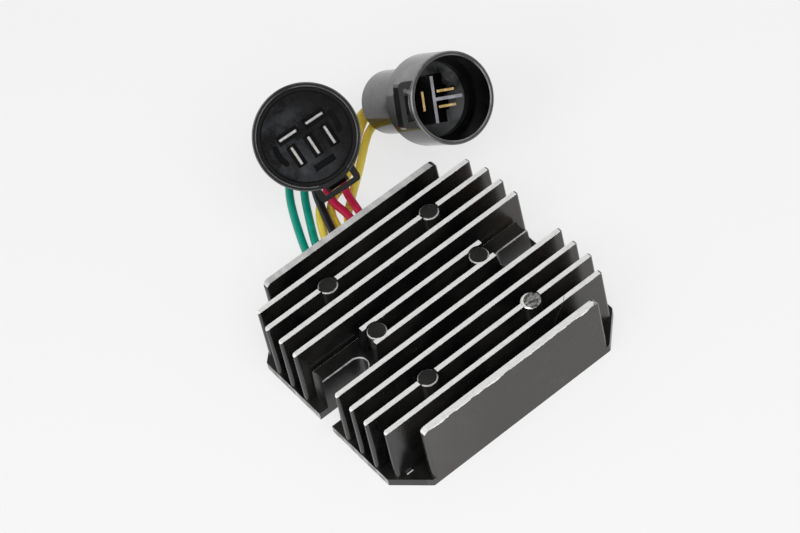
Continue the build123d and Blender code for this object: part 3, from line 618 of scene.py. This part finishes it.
# Leads: each a smooth line through its route in millimetres, from its copper tab to its blade.
# Each lists its own blade, and one of each connector's leads the rest of the connector as well; nothing
# here reads these lists.
leadWidth = 2.8 * mm
leadRoundness = 6
leadSteps = 16  # from one point of a route to the next
leadSettings = {
    "wire_green_1": {
        "length": 82.0,
        "carries": ["five_way_blade_1", "five_way_housing", "five_way_seal", "wire_grommet"],
        "route": [
            (-13.4, 31.5, 3.9), (-13.4, 45.0, 3.9), (-9.2, 59.0, 1.5), (-3.4, 72.6, 1.5), (1.2, 81.8, 1.5),
            (6.1, 88.5, 1.5), (10.6, 92.8, 7.3), (12.03, 92.25, 15.66), (10.75, 89.59, 18.92)],
    },
    "wire_green_2": {
        "length": 71.4,
        "carries": ["five_way_blade_3"],
        "route": [
            (-10.0, 31.5, 3.9), (-10.0, 45.4, 3.9), (-5.2, 58.8, 1.5), (1.2, 71.3, 1.5), (5.4, 79.0, 1.5),
            (8.8, 83.4, 1.5), (10.6, 87.0, 5.4), (10.79, 87.09, 10.97), (9.51, 84.43, 14.23)],
    },
    "wire_yellow_1": {
        "length": 92.0,
        "carries": ["three_way_blade_1", "three_way_housing", "three_way_divider", "three_way_seal"],
        "route": [
            (-6.6, 31.5, 3.9), (-6.6, 45.4, 3.9), (-1.0, 59.2, 1.5), (3.4, 68.3, 1.5), (8.8, 73.9, 1.5),
            (16.6, 75.5, 1.5), (23.0, 80.8, 1.5), (28.9, 86.7, 1.5), (35.8, 88.7, 5.5),
            (41.4, 86.01, 11.82), (41.76, 82.21, 14.73)],
    },
    "wire_black": {
        "length": 69.8,
        "carries": ["five_way_blade_4"],
        "route": [
            (-3.2, 31.5, 3.9), (-3.2, 45.0, 3.9), (1.7, 57.6, 4.0), (4.9, 67.5, 4.4), (8.0, 75.6, 4.4),
            (12.6, 82.7, 2.8), (15.8, 86.0, 6.6), (16.91, 85.69, 12.23), (15.63, 83.03, 15.49)],
    },
    "wire_yellow_2": {
        "length": 94.9,
        "carries": ["three_way_blade_2"],
        "route": [
            (0.2, 31.5, 3.9), (0.2, 45.0, 3.9), (4.7, 58.8, 1.5), (7.0, 66.6, 1.5), (10.8, 70.6, 1.5),
            (16.6, 72.3, 1.5), (24.9, 77.9, 1.5), (31.9, 84.2, 1.5), (38.8, 89.4, 2.3), (45.0, 89.9, 6.2),
            (50.22, 85.62, 10.54), (50.57, 81.98, 13.33)],
    },
    "wire_yellow_3": {
        "length": 84.7,
        "carries": ["three_way_blade_3"],
        "route": [
            (3.6, 31.5, 3.9), (3.6, 45.0, 3.9), (8.1, 59.4, 1.5), (14.9, 65.6, 1.5), (25.9, 74.6, 1.5),
            (33.8, 81.9, 1.5), (39.2, 85.8, 1.5), (44.8, 85.6, 4.0), (48.13, 82.35, 7.2),
            (48.45, 79.03, 9.75)],
    },
    "wire_red_1": {
        "length": 77.1,
        "carries": ["five_way_blade_2"],
        "route": [
            (7.0, 31.5, 3.9), (7.0, 45.0, 3.9), (9.8, 58.8, 4.4), (9.0, 68.3, 4.4), (12.6, 76.2, 4.4),
            (18.4, 84.0, 2.5), (21.6, 90.1, 8.6), (21.95, 90.42, 17.52), (20.56, 87.52, 21.08)],
    },
    "wire_red_2": {
        "length": 65.5,
        "carries": ["five_way_blade_5"],
        "route": [
            (10.4, 31.5, 3.9), (10.4, 45.0, 3.9), (13.2, 58.5, 4.3), (14.9, 67.3, 4.4), (18.3, 74.0, 4.4),
            (21.4, 80.6, 4.4), (22.9, 84.2, 8.1), (22.84, 84.42, 13.51), (21.56, 81.76, 16.78)],
    },
}


def addLead(name, route):
    curve = bpy.data.curves.new(name + "Line", "CURVE")
    curve.dimensions = "3D"
    curve.bevel_depth = leadWidth / 2
    curve.bevel_resolution = leadRoundness
    curve.use_fill_caps = True
    curve.resolution_u = leadSteps
    line = curve.splines.new("NURBS")
    line.points.add(len(route) - 1)
    for target, point in zip(line.points, route):
        target.co = (*[v * mm for v in point], 1.0)
    line.order_u = 3
    line.use_endpoint_u = True
    lead = bpy.data.objects.new(name + "_lead", curve)
    bpy.context.collection.objects.link(lead)
    curve.materials.append(finishes[slotOf[name]])
    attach(lead, "root")
    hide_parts(name)
    return lead


for name, s in leadSettings.items():
    addLead(name, s["route"])
print("leads made:", len(leadSettings))

# Floor and light
studioSettings = {
    "floorSize": 6.0,
    "floorColor": (0.9, 0.9, 0.9),
    "floorGlow": (0.92, 0.92, 0.92),
    "glowShare": 0.75,
    "skyStrength": 0.34,
    "seenSky": (0.2, 0.65, 0.93, 0.16),  # two heights, and the strength seen at each
    "softboxes": [
        {"name": "leftSoftbox", "place": (-0.75, -0.15, 0.75), "size": 0.6, "power": 4.4, "shines": True},
        {"name": "fillSoftbox", "place": (-0.15, -0.78, 1.12), "size": 0.9, "power": 10.5, "shines": False},
        {"name": "cupSoftbox", "place": (-0.45, -0.75, 0.85), "size": 0.7, "power": 0.7, "shines": True},
    ],
}


# Rays that show the background: from the camera, and in metal and glass
def seenRay(tree):
    path = tree.nodes.new("ShaderNodeLightPath")
    kinds = ("Is Camera Ray", "Is Glossy Ray", "Is Transmission Ray")
    return anyOf(tree, *[path.outputs[kind] for kind in kinds])


def addFloor(s):
    bpy.ops.mesh.primitive_plane_add(size=s["floorSize"], location=(0, 0, 0))
    floor = bpy.context.object
    floor.name = "floor"
    material, tree, shader = startMaterial("floorPaper")
    shader.inputs["Base Color"].default_value = (*s["floorColor"], 1.0)
    shader.inputs["Roughness"].default_value = 1.0
    shader.inputs["Specular IOR Level"].default_value = 0.0
    glow = tree.nodes.new("ShaderNodeEmission")
    glow.inputs["Color"].default_value = (*s["floorGlow"], 1.0)
    blend = tree.nodes.new("ShaderNodeMixShader")
    join(tree, times(tree, seenRay(tree), s["glowShare"]), blend.inputs[0])
    join(tree, shader.outputs[0], blend.inputs[1])
    join(tree, glow.outputs[0], blend.inputs[2])
    join(tree, blend.outputs[0], tree.nodes["Material Output"].inputs["Surface"])
    floor.data.materials.append(material)


# A white sky that lights at one strength, and is seen bright low down and darker overhead
def addSky(s):
    world = bpy.data.worlds.new("studioSky")
    bpy.context.scene.world = world
    world.use_nodes = True
    tree = world.node_tree
    background = tree.nodes["Background"]
    background.inputs["Color"].default_value = (1.0, 1.0, 1.0, 1.0)
    toward = tree.nodes.new("ShaderNodeTexCoord").outputs["Generated"]
    seen = ramp(tree, separate(tree, toward)[2], *s["seenSky"])
    join(tree, mixValue(tree, seenRay(tree), s["skyStrength"], seen), background.inputs["Strength"])


# Each softbox points at the origin
def addSoftbox(s):
    place = Vector(s["place"])
    bpy.ops.object.light_add(type="AREA", location=place)
    lamp = bpy.context.object
    lamp.name = s["name"]
    lamp.rotation_euler = (-place).to_track_quat("-Z", "Y").to_euler()
    lamp.data.size = s["size"]
    lamp.data.energy = s["power"]
    lamp.visible_glossy = s["shines"]


addFloor(studioSettings)
addSky(studioSettings)
for softbox in studioSettings["softboxes"]:
    addSoftbox(softbox)
bpy.context.scene.view_settings.view_transform = "Standard"
print("studio set")
